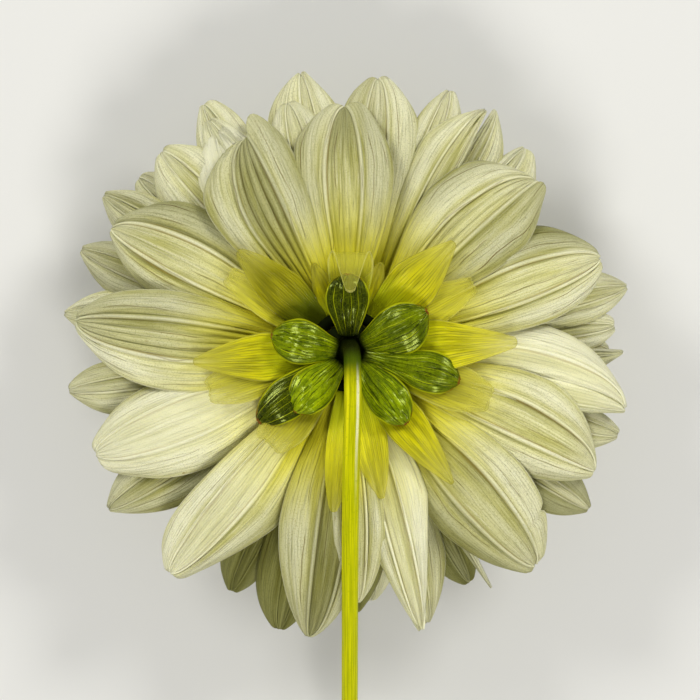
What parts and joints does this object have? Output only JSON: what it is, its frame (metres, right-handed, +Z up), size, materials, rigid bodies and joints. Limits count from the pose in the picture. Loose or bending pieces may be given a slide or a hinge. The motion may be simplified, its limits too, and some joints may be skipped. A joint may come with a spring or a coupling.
{
  "type": "dahlia flower",
  "caption": "Cut double dahlia bloom lying face down: layered cream petals, thin and fleshy bracts at its back, and a curved stalk.",
  "frame": {"origin": "on the surface, at the small flat spot under the closed middle of the bloom's face", "axes": "+Z up, out of the bloom's back; the stalk runs out towards -Y; +X to the right as seen from above"},
  "size_m": [0.1201, 0.1839, 0.0453],
  "materials": {
    "petals": "soft satin",
    "inner_bracts": "thin and glossy",
    "outer_bracts": "waxy",
    "stem": "satin"
  },
  "bodies": {
    "root": {"petals": "petals", "inner_bracts": "inner_bracts", "outer_bracts": "outer_bracts", "stem": "stem"}
  },
  "joints": []
}
